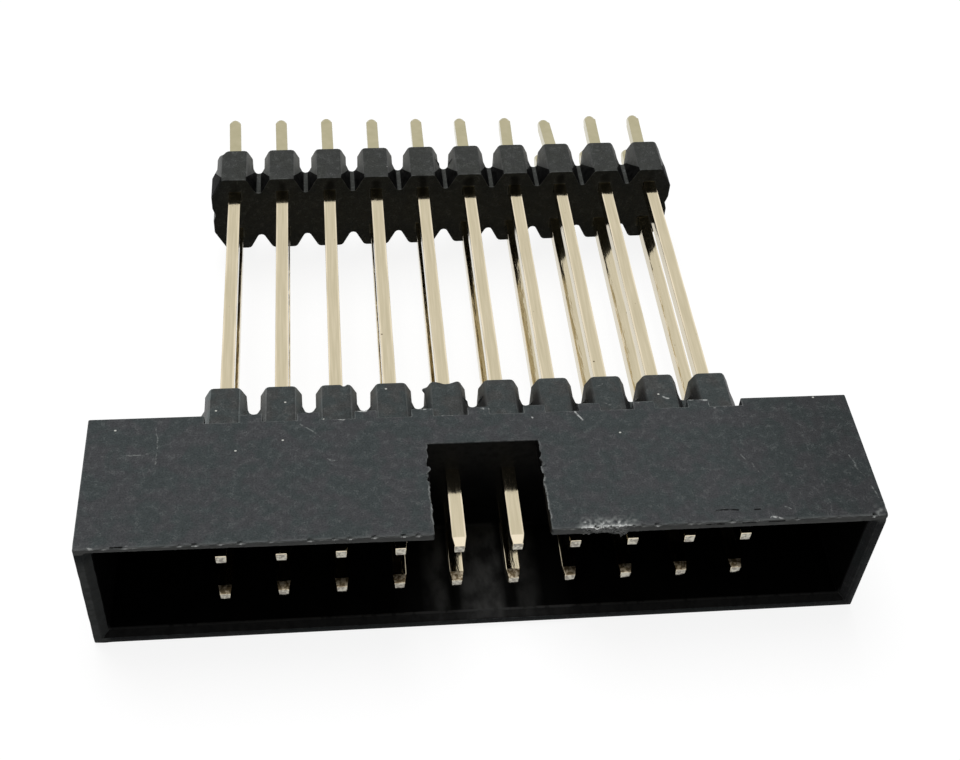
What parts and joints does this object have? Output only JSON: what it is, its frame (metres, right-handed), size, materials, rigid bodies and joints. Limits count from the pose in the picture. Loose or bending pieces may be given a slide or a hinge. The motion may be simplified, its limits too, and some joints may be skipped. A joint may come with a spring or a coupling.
{
  "type": "box header",
  "caption": "Shrouded box header: open-mouthed housing with a keying notch, rows of long square contact pins, and castellated insulator strips that hold it clear of a circuit board.",
  "frame": {"origin": "under the middle of the whole header, on the plane of the shroud's lower wall", "axes": "+X along the rows of contacts, +Y from the open mouth to the solder tails, +Z out through the wall with the keying notch"},
  "size_m": [0.0272, 0.0246, 0.0054],
  "materials": {
    "shroud_plastic": "moulded, matt, fine grain",
    "insulator_plastic": "moulded, matt",
    "pin_plating": "thin pale gold plating over nickel, satin"
  },
  "bodies": {
    "root": {"shroud": "shroud_plastic", "shroud_insulator": "insulator_plastic", "board_insulator": "insulator_plastic", "pin_01": "pin_plating", "pin_02": "pin_plating", "pin_03": "pin_plating", "pin_04": "pin_plating", "pin_05": "pin_plating", "pin_06": "pin_plating", "pin_07": "pin_plating", "pin_08": "pin_plating", "pin_09": "pin_plating", "pin_10": "pin_plating", "pin_11": "pin_plating", "pin_12": "pin_plating", "pin_13": "pin_plating", "pin_14": "pin_plating", "pin_15": "pin_plating", "pin_16": "pin_plating", "pin_17": "pin_plating", "pin_18": "pin_plating", "pin_19": "pin_plating", "pin_20": "pin_plating"}
  },
  "joints": []
}
